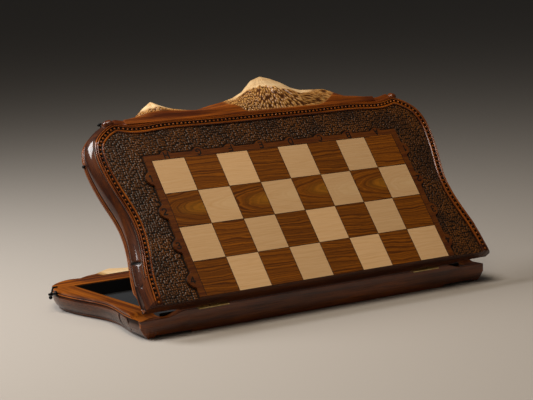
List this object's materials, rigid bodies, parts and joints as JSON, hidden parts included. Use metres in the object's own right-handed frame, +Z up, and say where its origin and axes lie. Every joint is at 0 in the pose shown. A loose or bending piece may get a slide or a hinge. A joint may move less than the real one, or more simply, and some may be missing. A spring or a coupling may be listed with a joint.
{
  "type": "folding chess board case",
  "caption": "Folding chess board case: two carved trays hinged along a long edge, each with half the inlaid board outside, a carved ridge crest and side latches.",
  "frame": {"origin": "on the table, under the middle of the base half's playing field", "axes": "+X along the hinge, +Y from the hinge towards the crest of the base, +Z up; the lid is at its open rest pose"},
  "size_m": [0.5878, 0.3487, 0.2934],
  "materials": {
    "carved_walnut": "carved, oiled and waxed",
    "crest_walnut": "chiselled, pale summits, waxed",
    "pebbled_walnut": "punched texture, dark wash",
    "maple_squares": "satin veneer",
    "walnut_squares": "satin veneer",
    "ebony_inlay": "satin",
    "border_walnut": "satin veneer",
    "lining_cloth": "short nap",
    "hinge_brass": "satin",
    "black_steel": "satin black"
  },
  "bodies": {
    "base": {"base_hinge_rail": "carved_walnut", "base_left_rail": "carved_walnut", "base_right_rail": "carved_walnut", "base_rear_rail": "carved_walnut", "base_mountain_crest": "crest_walnut", "base_ground_panel": "pebbled_walnut", "base_light_squares": "maple_squares", "base_dark_squares": "walnut_squares", "base_stringing": "ebony_inlay", "base_rear_border": "border_walnut", "base_left_border": "border_walnut", "base_right_border": "border_walnut", "base_coordinate_inlays": "ebony_inlay", "base_floor_lining": "lining_cloth", "base_wall_lining": "lining_cloth", "left_hinge_base_leaf": "hinge_brass", "left_hinge_pin": "hinge_brass", "left_latch_post": "black_steel", "right_hinge_base_leaf": "hinge_brass", "right_hinge_pin": "hinge_brass", "right_latch_post": "black_steel", "base_hinge_screws": "hinge_brass"},
    "lid": {"lid_hinge_rail": "carved_walnut", "lid_left_rail": "carved_walnut", "lid_right_rail": "carved_walnut", "lid_rear_rail": "carved_walnut", "lid_mountain_crest": "crest_walnut", "lid_ground_panel": "pebbled_walnut", "lid_light_squares": "maple_squares", "lid_dark_squares": "walnut_squares", "lid_stringing": "ebony_inlay", "lid_rear_border": "border_walnut", "lid_left_border": "border_walnut", "lid_right_border": "border_walnut", "lid_coordinate_inlays": "ebony_inlay", "lid_floor_lining": "lining_cloth", "lid_wall_lining": "lining_cloth", "left_hinge_lid_leaf": "hinge_brass", "left_latch_stud": "black_steel", "right_hinge_lid_leaf": "hinge_brass", "right_latch_stud": "black_steel", "lid_hinge_screws": "hinge_brass", "lid_corner_knob": "black_steel"},
    "left_lever": {"left_latch_lever": "black_steel"},
    "right_lever": {"right_latch_lever": "black_steel"}
  },
  "joints": [
    {"name": "lid_hinge", "type": "hinge", "parent": "base", "child": "lid", "pos_m": [0, -0.1018, 0.029], "axis": [1, 0, 0], "range_deg": [-52.4, 127.6]},
    {"name": "left_latch_swing", "type": "hinge", "parent": "base", "child": "left_lever", "pos_m": [-0.28936, 0.11674, 0.0245], "axis": [-0.995, 0.1, 0], "range_deg": [-45, 30]},
    {"name": "right_latch_swing", "type": "hinge", "parent": "base", "child": "right_lever", "pos_m": [0.28936, 0.11674, 0.0245], "axis": [-0.995, -0.1, 0], "range_deg": [-45, 30]}
  ]
}
